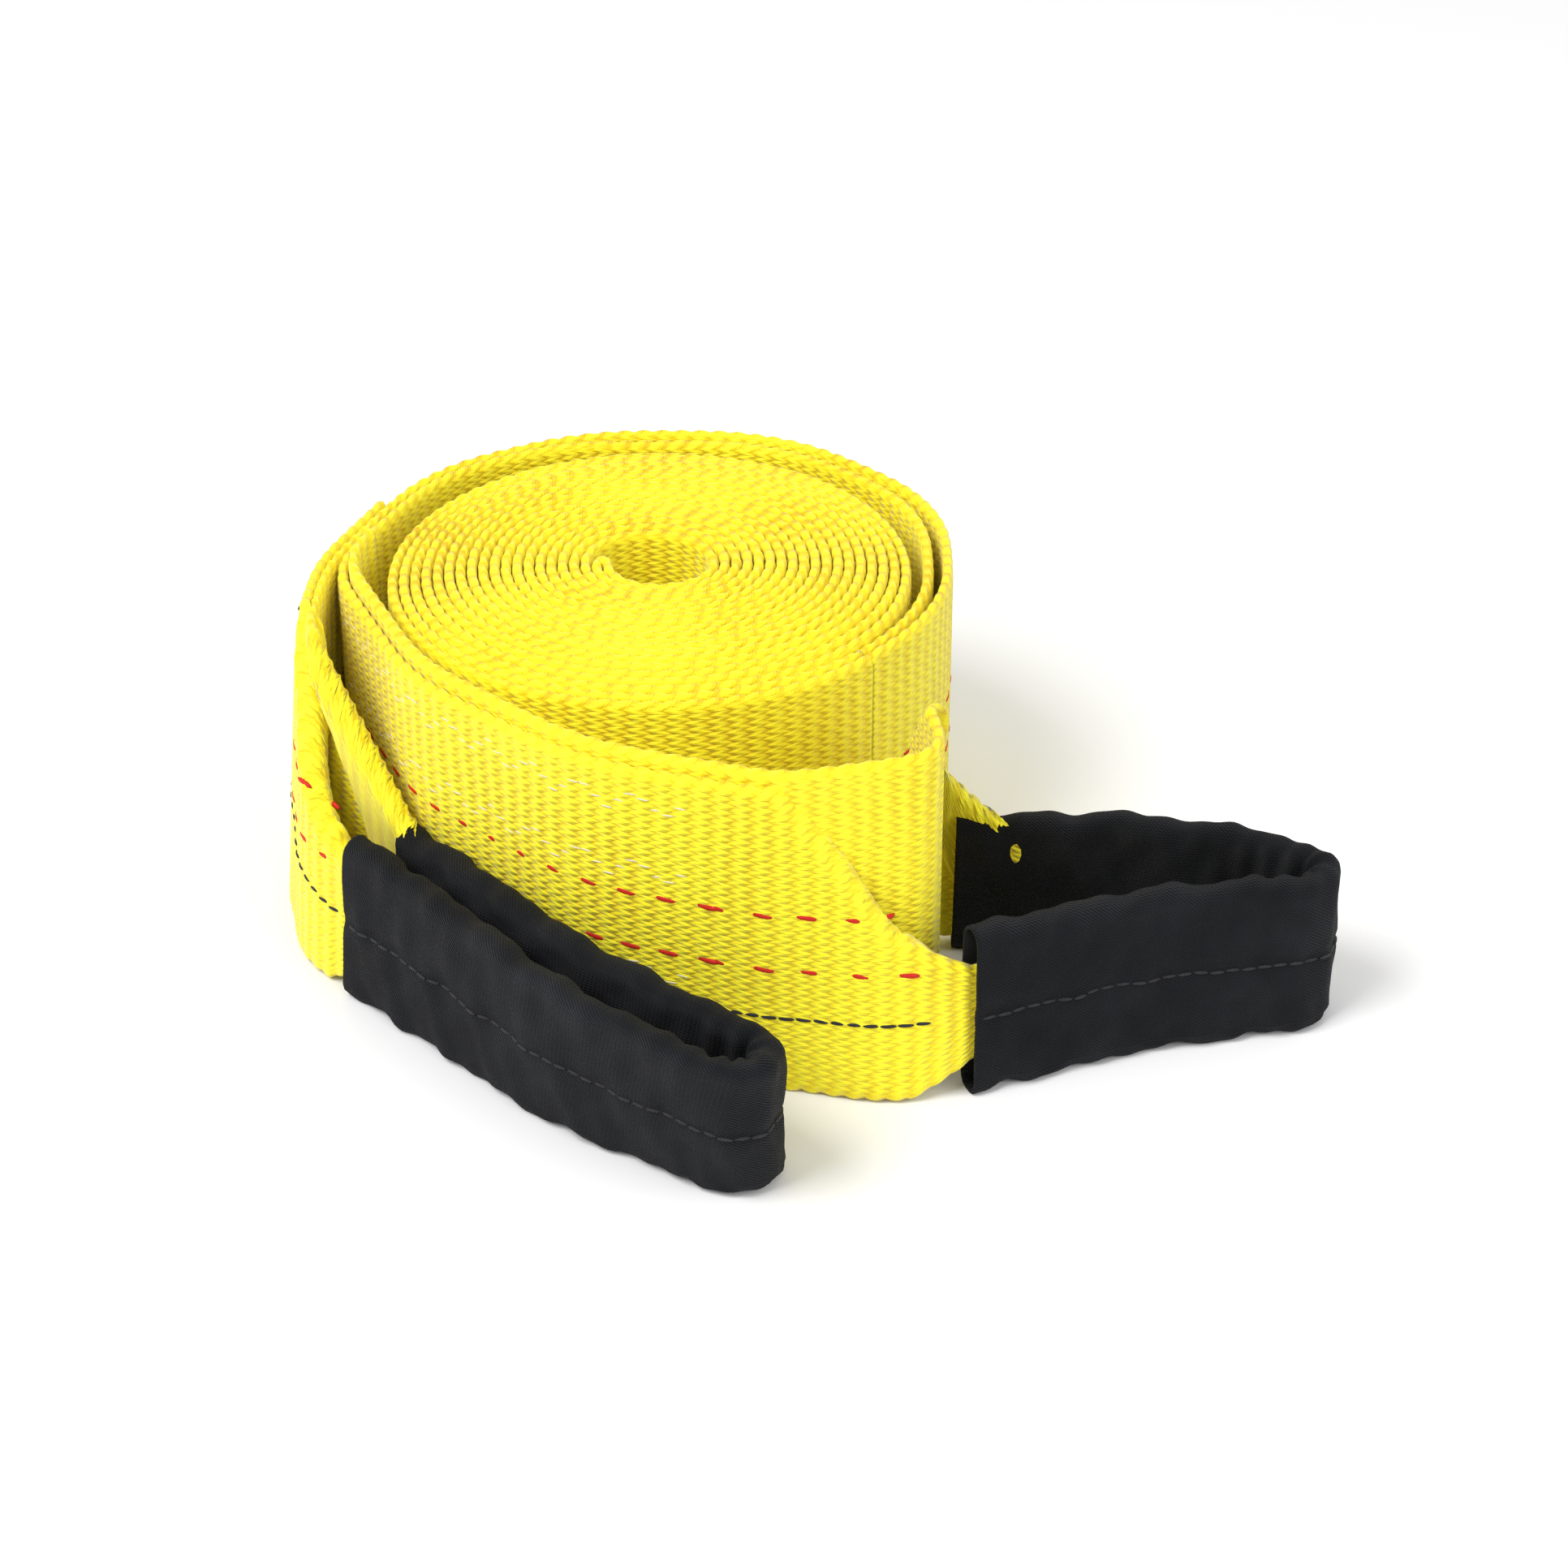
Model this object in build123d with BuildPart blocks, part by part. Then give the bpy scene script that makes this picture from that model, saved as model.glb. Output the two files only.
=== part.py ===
"""Rolled recovery strap: flat webbing on edge, two sewn eyes, each in a fabric wear sleeve.

The strap is folded in half, wound doubled from the fold outwards, and stands on its edge.
Its two ends leave the roll at the left and at the front, and each ends in a hinged eye.
"""
from build123d import *
from math import cos, radians, sin
import os

os.makedirs("parts", exist_ok=True)

# ---- webbing and sewing, mm -------------------------------------------------------------
STRAP_WIDTH = 75.0
STRAP_THICKNESS = 2.4
LAYER_GAP = 0.2  # air between two layers that lie on each other
FOLD_GROWTH = 0.2  # extra thickness of a flap that is folded down on its own layer
THREAD_PROUD = 0.4  # how far a sewing thread stands out of the cloth
THREAD_WIDTH = 0.9
TRACER_PROUD = 0.15  # the coloured warp yarns lie almost flush
TRACER_WIDTH = 1.5
TRACER_HEIGHTS = (0.41, 0.59)  # shares of the strap's width
SPLICE_ROWS = (0.12, 0.36, 0.64, 0.88)  # rows of splice thread, shares of the width

# ---- the roll ---------------------------------------------------------------------------
ROLL_X = -33.8  # the roll's middle, measured from the middle of the whole object
ROLL_Y = 30.5
CORE_RADIUS = 11.0
FULL_TURNS = 9  # doubled turns before the ends begin to leave
EXIT_ANGLE = -40.0  # where the last turn comes off the roll, from +X
INNER_PLAY_SIDE = 2.8  # the loose turn's inner layer stands off the roll beside it
INNER_PLAY_BACK = 5.8  # and behind it
OUTER_PLAY_SIDE = 2.0  # its outer layer stands off the inner one
OUTER_PLAY_BACK = 3.3

# ---- the eyes ---------------------------------------------------------------------------
SLEEVE_WALL = 0.9
SLEEVE_CLEARANCE = 0.1  # from the webbing to the sleeve around it
KNUCKLE_CLEARANCE = 0.4  # between an eye's root and the splice that it hinges on
LEFT_BIGHT_RADIUS = 8.0  # middle of the outer webbing layer round the end of the eye
RIGHT_BIGHT_RADIUS = 8.5

# ---- sizes that follow ------------------------------------------------------------------
layer_pitch = STRAP_THICKNESS + LAYER_GAP
half_gap = LAYER_GAP / 2
half_layer = STRAP_THICKNESS / 2
doubled = 2 * layer_pitch  # what one doubled turn adds to the roll's radius
splice_half = half_gap + STRAP_THICKNESS  # half the thickness of two layers on each other
flap_face = half_layer + STRAP_THICKNESS + FOLD_GROWTH
sleeve_out = half_layer + SLEEVE_CLEARANCE + SLEEVE_WALL
sleeve_in = flap_face + SLEEVE_CLEARANCE + SLEEVE_WALL
eye_floor = SLEEVE_WALL + SLEEVE_CLEARANCE  # underside of the webbing in a sleeve
fold_top = eye_floor + STRAP_WIDTH / 2
sleeve_height = fold_top + SLEEVE_CLEARANCE + SLEEVE_WALL
seam_height = sleeve_height / 2
last_radius = CORE_RADIUS + FULL_TURNS * doubled  # inner face of the last half turn
roll_radius = last_radius + doubled - LAYER_GAP
core = Vector(ROLL_X + 1.0, ROLL_Y + 1.5)  # a hand-wound core sits a little off centre
turn_step = Vector(layer_pitch, 0)  # the upper half turns are centred this far to the left


# ---- laying webbing along a bent line ---------------------------------------------------
def towards(angle, distance):
    """Place at an angle from the core's axis, so far from it."""
    return core + Vector(cos(radians(angle)), sin(radians(angle))) * distance


def beyond_roll(*places):
    """Places given as (angle, distance outside the wound roll)."""
    return [towards(angle, roll_radius + distance) for angle, distance in places]


def offset_corners(corners, shift):
    """Corners of the line that runs `shift` to the left of a bent line (negative: right)."""
    runs = [(b - a).normalized() for a, b in zip(corners, corners[1:])]
    lefts = [Vector(-run.Y, run.X) for run in runs]
    moved = [corners[0] + lefts[0] * shift]
    for corner, before, after in zip(corners[1:-1], lefts, lefts[1:]):
        moved.append(corner + (before + after) * (shift / (1 + before.dot(after))))
    moved.append(corners[-1] + lefts[-1] * shift)
    return moved


def offset_radii(corners, bends, shift):
    """Bend radii of that parallel line: smaller inside a bend, larger outside it."""
    runs = [b - a for a, b in zip(corners, corners[1:])]
    lefts = [a.X * b.Y - a.Y * b.X > 0 for a, b in zip(runs, runs[1:])]
    return [bend - shift if left else bend + shift for bend, left in zip(bends, lefts)]


def split_line(corners, bends, corner, share):
    """Cut a bent line on the straight run after a corner: what is before, what is after."""
    cut = corners[corner] + (corners[corner + 1] - corners[corner]) * share
    before = (corners[: corner + 1] + [cut], bends[:corner])
    after = ([cut] + corners[corner + 1 :], bends[corner:])
    return before, after


def band(corners, bends, right, left, bottom, top):
    """Wall that stands along a bent line, between two distances to the line's left."""
    with BuildPart(mode=Mode.PRIVATE) as wall:
        with BuildSketch(Plane.XY.offset(bottom)):
            with BuildLine():
                sides = [offset_corners(corners, shift) for shift in (right, left)]
                for side, shift in zip(sides, (right, left)):
                    if bends:
                        FilletPolyline(*side, radius=offset_radii(corners, bends, shift))
                    else:
                        Line(*side)
                Line(sides[0][0], sides[1][0])
                Line(sides[0][-1], sides[1][-1])
            make_face()
        extrude(amount=top - bottom)
    return wall.part


def rail(corners, bends, face, proud, height, width):
    """Thread or yarn on the right-hand face of a band, centred at a height."""
    return band(corners, bends, -face - proud, -face, height - width / 2, height + width / 2)


def post(axis, radius, bottom, top):
    """Upright cylinder round a hinge axis."""
    with BuildPart(Plane.XY.offset(bottom), mode=Mode.PRIVATE) as cylinder:
        with Locations((axis.X, axis.Y)):
            Cylinder(radius, top - bottom, align=(Align.CENTER, Align.CENTER, Align.MIN))
    return cylinder.part


def upright_prism(start, end, outline):
    """Prism across the line start-end, its outline in (share of the line, height)."""
    run = end - start
    places = [(share * run.length, height) for share, height in outline]
    with BuildPart(mode=Mode.PRIVATE) as prism:
        with BuildSketch(Plane(start, x_dir=run, z_dir=Vector(run.Y, -run.X))):
            with BuildLine():
                Polyline(*places, close=True)
            make_face()
        extrude(amount=STRAP_WIDTH, both=True)
    return prism.part


def over_fold(start, end):
    """What a fold takes away: everything above a line that drops to half the width."""
    far = 2.0
    above = 2 * STRAP_WIDTH
    line = [(-far, STRAP_WIDTH), (0, STRAP_WIDTH), (1, fold_top), (far, fold_top)]
    return upright_prism(start, end, line + [(far, above), (-far, above)])


def under_flap(start, end):
    """Below a folded flap's free edge, which drops twice as fast as the fold itself."""
    far = 2.0
    below = -STRAP_WIDTH
    line = [(-far, STRAP_WIDTH), (0, STRAP_WIDTH), (1, eye_floor), (far, eye_floor)]
    return upright_prism(start, end, line + [(far, below), (-far, below)])


# ---- the roll: one doubled strap, wound from its fold ------------------------------------
# Each turn is two half circles. The upper one is centred a layer further left, so a turn
# ends one doubled layer outside its own start.
strap_faces = (0.0, STRAP_THICKNESS, layer_pitch, layer_pitch + STRAP_THICKNESS)
fold_axis = core - Vector(CORE_RADIUS + splice_half, 0)

with BuildPart() as rolled_webbing:
    with BuildSketch():
        with BuildLine():
            for face in strap_faces:
                for turn in range(FULL_TURNS):
                    radius = CORE_RADIUS + turn * doubled + face
                    CenterArc(core, radius, 180, 180)
                    CenterArc(core - turn_step, radius + layer_pitch, 0, 180)
                CenterArc(core, last_radius + face, 180, 180 + EXIT_ANGLE)
            for inner, outer in (strap_faces[:2], strap_faces[2:]):
                Line(
                    towards(EXIT_ANGLE, last_radius + inner),
                    towards(EXIT_ANGLE, last_radius + outer),
                )
            CenterArc(fold_axis, half_gap, 0, 180)
            CenterArc(fold_axis, splice_half, 0, 180)
        make_face()
    extrude(amount=STRAP_WIDTH)
rolled_webbing.part.label = "rolled_webbing"
export_step(rolled_webbing.part, "parts/rolled_webbing.step")


# ---- the lines that the strap's two ends follow ------------------------------------------
# Each line runs between the two layers of the splice at its end, which are the strap on one
# side and its turned-back tail on the other. The outer end passes the back and the left.
def leave_roll(radius, side_x):
    """Start of a line at the roll's exit, and where its tangent reaches x = side_x."""
    start = towards(EXIT_ANGLE, radius)
    slope = cos(radians(EXIT_ANGLE)) / -sin(radians(EXIT_ANGLE))
    return [start, Vector(side_x, start.Y + (side_x - start.X) * slope)]


inner_x = core.X + last_radius - LAYER_GAP + INNER_PLAY_SIDE
inner_y = core.Y + layer_pitch + last_radius - LAYER_GAP + INNER_PLAY_BACK
outer_x = inner_x + doubled + OUTER_PLAY_SIDE
outer_y = inner_y + doubled + OUTER_PLAY_BACK

outer_line = leave_roll(roll_radius + half_gap, outer_x)
outer_line += [
    Vector(outer_x, core.Y + 35.5),
    Vector(core.X + 28.6, outer_y),
    Vector(core.X - 21.7, outer_y),
]
outer_line += beyond_roll((137.3, 16.1), (178.2, 17.7), (197.1, 24.0))
outer_bends = [62, 52, 52, 60, 50, 60]

# The inner end lies against the outer one at the back left, then turns round the front.
beside = offset_corners(outer_line[4:7], doubled)
back_share = (inner_y - beside[1].Y) / (beside[0].Y - beside[1].Y)
inner_line = leave_roll(last_radius - half_gap, inner_x)
inner_line += [
    Vector(inner_x, core.Y + 33.0),
    Vector(core.X + 26.5, inner_y),
    beside[1] + (beside[0] - beside[1]) * back_share,
    beside[1],
]
inner_line += beyond_roll((177.9, 12.0), (222.9, 8.5), (260.1, 22.0), (285.0, 37.6))
inner_bends = [58, 46, 46, 46, 44.8, 26, 60, 70]

outer_turn, left_splice = split_line(outer_line, outer_bends, 5, 0.37)
inner_turn, right_splice = split_line(inner_line, inner_bends, 5, 0.73)
right_sewn = split_line(*right_splice, 1, 0.3)[1]  # sewn where it is clear of the outer end
left_hinge = outer_line[-1]
right_hinge = inner_line[-1]
hinges = (left_hinge, right_hinge)

# ---- the loose turn and the splices ------------------------------------------------------
roll_layers = {
    "outer_turn_webbing": (outer_turn, half_gap),
    "inner_turn_webbing": (inner_turn, -splice_half),
    "left_splice_strap": (left_splice, half_gap),
    "left_splice_tail": (left_splice, -splice_half),
    "right_splice_strap": (right_splice, -splice_half),
    "right_splice_tail": (right_splice, half_gap),
}
for layer_name, (line, right_face) in roll_layers.items():
    with BuildPart() as layer:
        add(band(*line, right_face, right_face + STRAP_THICKNESS, 0, STRAP_WIDTH))
        for hinge in hinges:
            room = post(hinge, splice_half + KNUCKLE_CLEARANCE, 0, STRAP_WIDTH)
            add(room, mode=Mode.SUBTRACT)
    layer.part.label = layer_name
    export_step(layer.part, f"parts/{layer_name}.step")

# ---- rows of clear thread that sew each splice -------------------------------------------
sewn_splices = {"left_splice_thread": left_splice, "right_splice_thread": right_sewn}
for thread_name, line in sewn_splices.items():
    with BuildPart() as splice_thread:
        for row in SPLICE_ROWS:
            add(rail(*line, splice_half, THREAD_PROUD, row * STRAP_WIDTH, THREAD_WIDTH))
        for hinge in hinges:
            add(post(hinge, 2 * splice_half, 0, STRAP_WIDTH), mode=Mode.SUBTRACT)
    splice_thread.part.label = thread_name
    export_step(splice_thread.part, f"parts/{thread_name}.step")

# ---- two coloured tracer yarns, on the outer faces from the roll to the eyes -------------
with BuildPart() as roll_tracers:
    traced_faces = ((outer_turn, -half_gap), (left_splice, splice_half), (right_sewn, splice_half))
    for line, face in traced_faces:
        for share in TRACER_HEIGHTS:
            add(rail(*line, face, TRACER_PROUD, share * STRAP_WIDTH, TRACER_WIDTH))
    for hinge in hinges:
        add(post(hinge, 2 * splice_half, 0, STRAP_WIDTH), mode=Mode.SUBTRACT)
roll_tracers.part.label = "roll_tracers"
export_step(roll_tracers.part, "parts/roll_tracers.step")

# ---- the eyes' lines: middle of the webbing's outer layer, from the hinge and back -------
left_heading = Vector(cos(radians(-33)), sin(radians(-33)))
left_across = Vector(-left_heading.Y, left_heading.X)
left_bight = left_hinge + Vector(101.1, -102.4)
bight_reach = LEFT_BIGHT_RADIUS + 0.01  # leaves a hair of straight between its quarter turns
left_front_end = left_bight + (left_heading - left_across) * bight_reach
left_back_end = left_bight + (left_heading + left_across) * bight_reach
left_line = [
    left_hinge,
    left_hinge + Vector(1.2, -24.0),
    left_front_end - left_heading * 50,
    left_front_end,
    left_back_end,
    left_back_end - left_heading * 52,
    left_hinge + Vector(18.0, -18.5),
    left_hinge,
]
left_bends = [28, 70, LEFT_BIGHT_RADIUS, LEFT_BIGHT_RADIUS, 100, 60]

right_places = ((30, -9), (81, 12.5), (132.5, 24), (109, 44), (77, 55), (29, 56.5), (37, 9.5))
right_line = [right_hinge + Vector(x, y) for x, y in right_places]
right_line = [right_hinge] + right_line + [right_hinge]
right_bends = [35, 80, RIGHT_BIGHT_RADIUS, 35, 60, 9, 10]

# Each eye: its line, where its two sleeve mouths are (corner before, share of the run
# after it), and where the folding of each leg starts and ends, from the hinge.
eyes = {
    "left": (left_line, left_bends, (1, 0.2), (5, 0.81), ((0.4, -8), (12, -36)), ((6.5, -6.5), (27, -28))),
    "right": (right_line, right_bends, (1, 0.25), (5, 0.75), ((11, -3.6), (42, -4)), ((37, 14), (30, 50))),
}
for side_name, (line, bends, front_mouth, back_mouth, front_fold, back_fold) in eyes.items():
    axis = line[0]
    front_half, back_leg_line = split_line(line, bends, *back_mouth)
    front_leg_line, loop_line = split_line(*front_half, *front_mouth)

    # Front leg: one layer from the hinge, with its upper half folding in as a flap.
    start, end = [axis + Vector(x, y) for x, y in front_fold]
    front_cut = over_fold(start, end)
    with BuildPart() as front_leg:
        add(band(*front_leg_line, half_layer, flap_face, eye_floor, STRAP_WIDTH))
        add(under_flap(start, end), mode=Mode.SUBTRACT)
        add(band(*front_leg_line, -half_layer, half_layer, eye_floor, STRAP_WIDTH))
        add(front_cut, mode=Mode.SUBTRACT)
        add(post(axis, splice_half, eye_floor, STRAP_WIDTH))
    front_leg.part.label = f"{side_name}_front_leg"
    export_step(front_leg.part, f"parts/{side_name}_front_leg.step")

    # Back leg: the same, and it stops at the root that the two legs share.
    start, end = [axis + Vector(x, y) for x, y in back_fold]
    corners = back_leg_line[0]
    corners[-1] += (corners[-2] - corners[-1]).normalized() * half_layer
    with BuildPart() as back_leg:
        add(band(*back_leg_line, half_layer, flap_face, eye_floor, STRAP_WIDTH))
        add(under_flap(start, end), mode=Mode.SUBTRACT)
        add(band(*back_leg_line, -half_layer, half_layer, eye_floor, STRAP_WIDTH))
        add(over_fold(start, end), mode=Mode.SUBTRACT)
        add(front_leg.part, mode=Mode.SUBTRACT)
    back_leg.part.label = f"{side_name}_back_leg"
    export_step(back_leg.part, f"parts/{side_name}_back_leg.step")

    # Loop: the folded webbing inside the sleeve, round the end of the eye.
    with BuildPart() as eye_loop:
        add(band(*loop_line, -half_layer, flap_face, eye_floor, fold_top))
    eye_loop.part.label = f"{side_name}_eye_loop"
    export_step(eye_loop.part, f"parts/{side_name}_eye_loop.step")

    # Sleeve: a flattened tube of cloth over the loop, open at its two mouths.
    with BuildPart() as sleeve:
        add(band(*loop_line, -sleeve_out, sleeve_in, 0, sleeve_height))
        cavity = (-half_layer - SLEEVE_CLEARANCE, flap_face + SLEEVE_CLEARANCE)
        hollow = band(*loop_line, *cavity, SLEEVE_WALL, sleeve_height - SLEEVE_WALL)
        add(hollow, mode=Mode.SUBTRACT)
    sleeve.part.label = f"{side_name}_sleeve"
    export_step(sleeve.part, f"parts/{side_name}_sleeve.step")

    # Seam thread: tacks the folded leg, then runs on along the middle of the sleeve.
    with BuildPart() as seam_thread:
        add(rail(*front_leg_line, half_layer, THREAD_PROUD, seam_height, THREAD_WIDTH))
        add(rail(*loop_line, sleeve_out, THREAD_PROUD, seam_height, THREAD_WIDTH))
        add(post(axis, 2 * splice_half, 0, STRAP_WIDTH), mode=Mode.SUBTRACT)
    seam_thread.part.label = f"{side_name}_seam_thread"
    export_step(seam_thread.part, f"parts/{side_name}_seam_thread.step")

    # Tracer yarns on the front leg, until they go over the fold or into the sleeve.
    with BuildPart() as eye_tracers:
        for share in TRACER_HEIGHTS:
            height = share * STRAP_WIDTH
            add(rail(*front_leg_line, half_layer, TRACER_PROUD, height, TRACER_WIDTH))
        add(front_cut, mode=Mode.SUBTRACT)
        add(post(axis, 2 * splice_half, 0, STRAP_WIDTH), mode=Mode.SUBTRACT)
    eye_tracers.part.label = f"{side_name}_eye_tracers"
    export_step(eye_tracers.part, f"parts/{side_name}_eye_tracers.step")
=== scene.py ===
"""Rolled recovery strap: woven webbing on edge, with two folded eyes in cloth sleeves."""
from math import cos, pi, radians, sin, tan

import bpy
import numpy as np
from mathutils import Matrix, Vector


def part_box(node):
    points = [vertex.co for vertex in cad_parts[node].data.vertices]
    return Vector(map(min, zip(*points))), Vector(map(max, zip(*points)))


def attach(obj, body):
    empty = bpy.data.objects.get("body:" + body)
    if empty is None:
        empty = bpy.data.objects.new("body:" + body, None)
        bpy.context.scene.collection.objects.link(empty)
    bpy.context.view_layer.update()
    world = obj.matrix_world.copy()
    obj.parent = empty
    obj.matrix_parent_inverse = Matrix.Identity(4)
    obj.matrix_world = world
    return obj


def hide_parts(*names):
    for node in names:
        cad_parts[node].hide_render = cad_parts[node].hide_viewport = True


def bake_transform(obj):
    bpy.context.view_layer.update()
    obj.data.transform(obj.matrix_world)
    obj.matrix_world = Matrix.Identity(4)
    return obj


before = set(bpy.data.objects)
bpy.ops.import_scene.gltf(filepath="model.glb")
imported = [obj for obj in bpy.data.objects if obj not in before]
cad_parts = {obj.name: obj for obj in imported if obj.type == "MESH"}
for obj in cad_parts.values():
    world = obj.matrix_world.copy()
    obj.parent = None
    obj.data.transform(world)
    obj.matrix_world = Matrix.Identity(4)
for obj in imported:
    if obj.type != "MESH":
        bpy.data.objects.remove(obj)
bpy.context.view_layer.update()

# ---- The webbing cloth -----------------------------------------------------------------
# One long strap of heavy polyester webbing, woven in warp floats over thick weft picks.
# Its yarns are dyed a sharp yellow, and two lines of red tracer yarn run along its face.
MM = 0.001
STRAP_WIDTH = 75 * MM
HALF_LAYER = 1.2 * MM
WEFT_PITCH = 4.4 * MM
FLOAT_PITCH = 1.65 * MM
PICOT_PITCH = 4.7 * MM


def new_material(name, roughness):
    material = bpy.data.materials.new(name)
    material.use_nodes = True
    nodes = material.node_tree.nodes
    shader = nodes["Principled BSDF"]
    shader.inputs["Roughness"].default_value = roughness
    shader.inputs["Specular IOR Level"].default_value = 0.3
    return material, nodes, material.node_tree.links, shader


def math_node(nodes, links, operation, *values):
    node = nodes.new("ShaderNodeMath")
    node.operation = operation
    for socket, value in zip(node.inputs, values):
        if isinstance(value, (int, float)):
            socket.default_value = value
        else:
            links.new(value, socket)
    return node.outputs[0]


def colour_ramp(nodes, links, factor, *stops):
    ramp = nodes.new("ShaderNodeValToRGB")
    while len(ramp.color_ramp.elements) < len(stops):
        ramp.color_ramp.elements.new(0.5)
    for element, (place, colour) in zip(ramp.color_ramp.elements, stops):
        element.position = place
        element.color = (*colour, 1)
    links.new(factor, ramp.inputs[0])
    return ramp.outputs[0]


def bump(nodes, links, shader, height, depth):
    node = nodes.new("ShaderNodeBump")
    node.inputs["Strength"].default_value = 1.0
    node.inputs["Distance"].default_value = depth
    links.new(height, node.inputs["Height"])
    links.new(node.outputs[0], shader.inputs["Normal"])


def noise(nodes, links, place, scale, detail=3.0):
    node = nodes.new("ShaderNodeTexNoise")
    node.inputs["Scale"].default_value = scale
    node.inputs["Detail"].default_value = detail
    links.new(place, node.inputs["Vector"])
    return node.outputs["Fac"]


def webbing_material():
    material, nodes, links, shader = new_material("yellow_webbing", 0.62)
    shader.inputs["Sheen Weight"].default_value = 0.25
    shader.inputs["Sheen Roughness"].default_value = 0.4
    place = nodes.new("ShaderNodeUVMap")
    place.uv_map = "weave"
    split = nodes.new("ShaderNodeSeparateXYZ")
    links.new(place.outputs[0], split.inputs[0])
    along, across = split.outputs[0], split.outputs[1]
    metres = nodes.new("ShaderNodeTexCoord").outputs["Object"]

    def m(operation, *values):
        return math_node(nodes, links, operation, *values)

    width = 2 * STRAP_WIDTH
    drift = m("MULTIPLY", m("SUBTRACT", noise(nodes, links, metres, 70), 0.5), 2.2 * MM)
    column = m("DIVIDE", m("ADD", across, m("MULTIPLY", drift, 0.25)), FLOAT_PITCH)
    tooth = m("ABSOLUTE", m("SUBTRACT", m("MULTIPLY", m("FRACT", column), 2.0), 1.0))
    odd = m("MODULO", m("FLOOR", column), 2.0)
    shift = m("ADD", m("MULTIPLY", tooth, 0.30), m("MULTIPLY", odd, 0.16))
    pick = m("ADD", m("DIVIDE", m("ADD", along, drift), WEFT_PITCH), shift)
    rib = m("SINE", m("MULTIPLY", pick, 2 * pi))
    swell = m("POWER", m("ADD", m("MULTIPLY", rib, 0.5), 0.5), 0.7)
    gap = m("POWER", m("SUBTRACT", 1.0, tooth), 0.35)
    yarns = m("SINE", m("MULTIPLY", m("DIVIDE", across, 0.42 * MM), 2 * pi))
    face = m("ADD", swell, m("ADD", m("MULTIPLY", gap, 0.28), m("MULTIPLY", yarns, 0.05)))
    from_edge = m("ABSOLUTE", m("SUBTRACT", across, STRAP_WIDTH))
    from_foot = m("MINIMUM", across, m("SUBTRACT", width, across))
    selvedge = m("MINIMUM", from_edge, from_foot)
    on_edge = m("SUBTRACT", 1.0, m("MINIMUM", m("DIVIDE", selvedge, 2.6 * MM), 1.0))
    lay = m("ADD", m("DIVIDE", m("ADD", along, drift), PICOT_PITCH), m("DIVIDE", across, 5.2 * MM))
    strand = m("ADD", m("MULTIPLY", m("SINE", m("MULTIPLY", lay, 2 * pi)), 0.5), 0.5)
    fine = m("SINE", m("MULTIPLY", m("MULTIPLY", lay, 6.0), 2 * pi))
    rope = m("ADD", strand, m("MULTIPLY", fine, 0.07))
    mixed = m("ADD", m("MULTIPLY", face, m("SUBTRACT", 1.0, on_edge)), m("MULTIPLY", rope, on_edge))
    fibre = noise(nodes, links, metres, 2400, 2.0)
    bump(nodes, links, shader, m("ADD", mixed, m("MULTIPLY", fibre, 0.18)), 0.42 * MM)

    # The colour follows the weave's height: the yellow turns deep orange in the grooves between the ribs and between
    # the selvedge strands, which is painted shade. The soil noise adds random tone on top.
    soil = noise(nodes, links, metres, 45)
    tone = m("ADD", m("MULTIPLY", mixed, 0.5), m("MULTIPLY", soil, 0.55))
    yellow = colour_ramp(
        nodes, links, tone, (0.12, (0.60, 0.36, 0.004)), (0.42, (0.88, 0.70, 0.008)), (0.8, (0.98, 0.87, 0.022))
    )
    links.new(yellow, shader.inputs["Base Color"])
    return material


webbing_cloth = webbing_material()

# ---- The roll --------------------------------------------------------------------------
# The strap is folded in half and wound doubled from the fold outwards, standing on its
# edge. The inner turns ride up a little, and the outermost ones have slipped back down.
core_x, core_y = -32.8 * MM, 32.0 * MM
CORE_RADIUS = 11 * MM
LAYER_PITCH = 2.6 * MM
DOUBLED = 2 * LAYER_PITCH
FULL_TURNS = 9
EXIT_ANGLE = -40
STEP = 1.1 * MM  # between two stations along the webbing
rolled_low, rolled_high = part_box("rolled_webbing")
random = np.random.default_rng(5)


def even_steps(points, step):
    """The same line with its stations at even steps."""
    points = np.asarray(points, float)
    gone = np.concatenate([[0], np.cumsum(np.linalg.norm(np.diff(points, axis=0), axis=1))])
    places = np.linspace(0, gone[-1], int(round(gone[-1] / step)) + 1)
    return np.stack([np.interp(places, gone, points[:, i]) for i in range(2)], axis=1)


def softened(values, spread, closed=False):
    """Running average along a line that leaves its two ends in place."""
    if spread < 1:
        return values
    half = int(3 * spread)
    weights = np.exp(-0.5 * (np.arange(-half, half + 1) / spread) ** 2)
    weights /= weights.sum()
    first, last = values[:1], values[-1:]
    before = 2 * first - values[half:0:-1]
    after = 2 * last - values[-2 : -half - 2 : -1]
    long = np.concatenate([before, values, after])
    if values.ndim == 1:
        return np.convolve(long, weights, "valid")
    return np.stack([np.convolve(long[:, i], weights, "valid") for i in range(values.shape[1])], axis=1)


def left_of(points):
    """Unit normals to the left of a line."""
    run = np.gradient(points, axis=0)
    run /= np.linalg.norm(run, axis=1)[:, None]
    return np.stack([-run[:, 1], run[:, 0]], axis=1)


def arm_of_coil(face):
    """Middle line of one arm of the coil, from the core outwards; face is its radius offset."""
    line = []
    for turn in range(FULL_TURNS + 1):
        radius = CORE_RADIUS + turn * DOUBLED + face
        end = 360 if turn < FULL_TURNS else 360 + EXIT_ANGLE
        for angle in np.arange(180, end, 2):
            line.append((core_x + radius * cos(radians(angle)), core_y + radius * sin(radians(angle))))
        if turn < FULL_TURNS:
            for angle in np.arange(0, 180, 2):
                reach = radius + LAYER_PITCH
                line.append(
                    (core_x - LAYER_PITCH + reach * cos(radians(angle)), core_y + reach * sin(radians(angle)))
                )
    line.append((core_x + radius * cos(radians(end)), core_y + radius * sin(radians(end))))
    return line


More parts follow.
